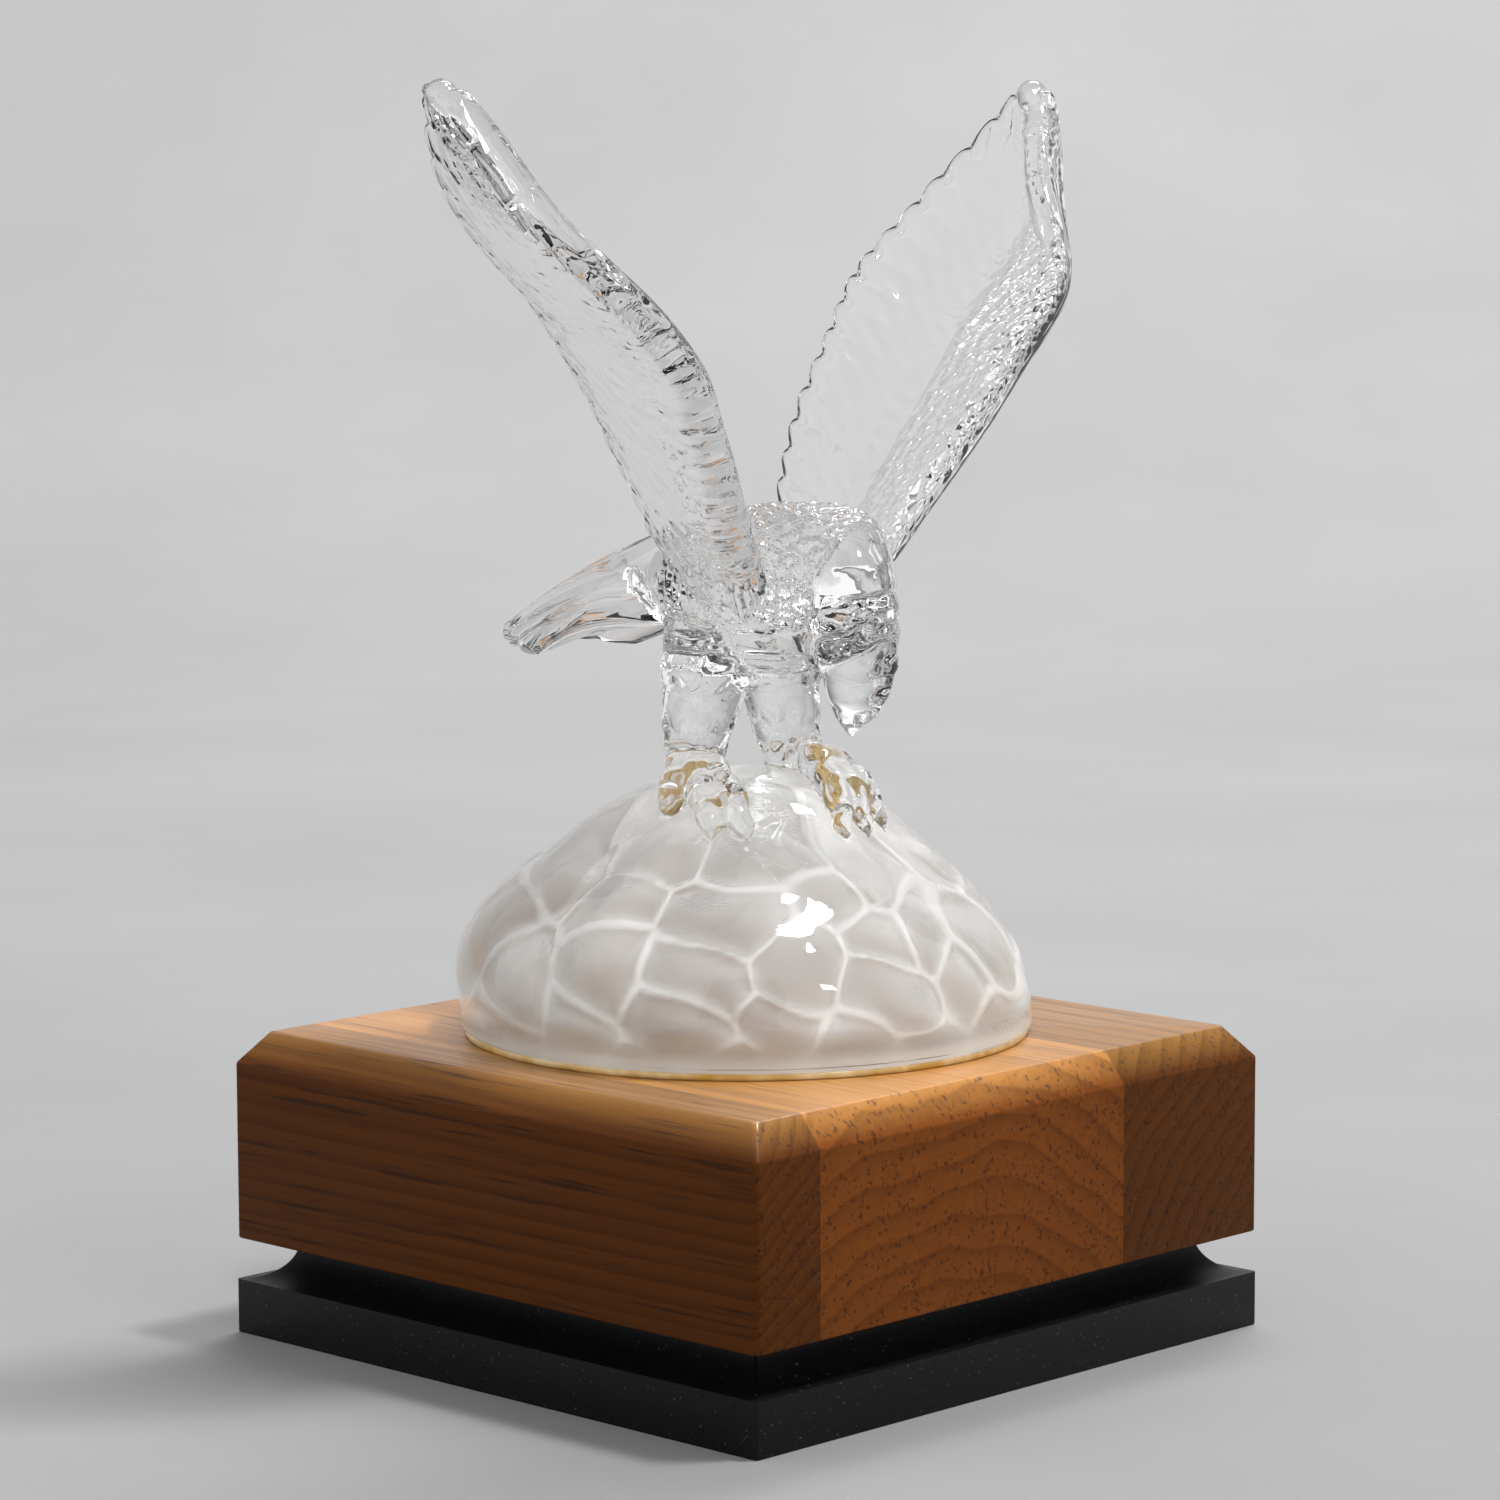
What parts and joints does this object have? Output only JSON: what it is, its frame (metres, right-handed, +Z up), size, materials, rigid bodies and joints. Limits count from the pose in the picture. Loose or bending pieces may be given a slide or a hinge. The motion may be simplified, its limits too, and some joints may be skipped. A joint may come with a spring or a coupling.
{
  "type": "crystal eagle figurine",
  "caption": "Clear lead crystal eagle with raised wings and bowed head on a frosted rock mound, glued to a square walnut plinth with a black coved foot.",
  "frame": {"origin": "centre of the black foot's underside", "axes": "+Z up, the eagle faces -Y, its left wing points to +X"},
  "size_m": [0.1852, 0.1524, 0.2629],
  "materials": {
    "lead_crystal": "clear and polished, the cavity under the mound frosted",
    "walnut_dark": "oiled, satin",
    "walnut_middle": "oiled, satin",
    "walnut_right": "oiled, satin",
    "black_lacquer": "satin black lacquer on wood",
    "amber_adhesive": "hard clear amber adhesive"
  },
  "bodies": {
    "root": {"black_foot": "black_lacquer", "walnut_board_narrow": "walnut_dark", "walnut_board_middle": "walnut_middle", "walnut_board_right": "walnut_right", "adhesive_ring": "amber_adhesive", "crystal_eagle": "lead_crystal"}
  },
  "joints": []
}
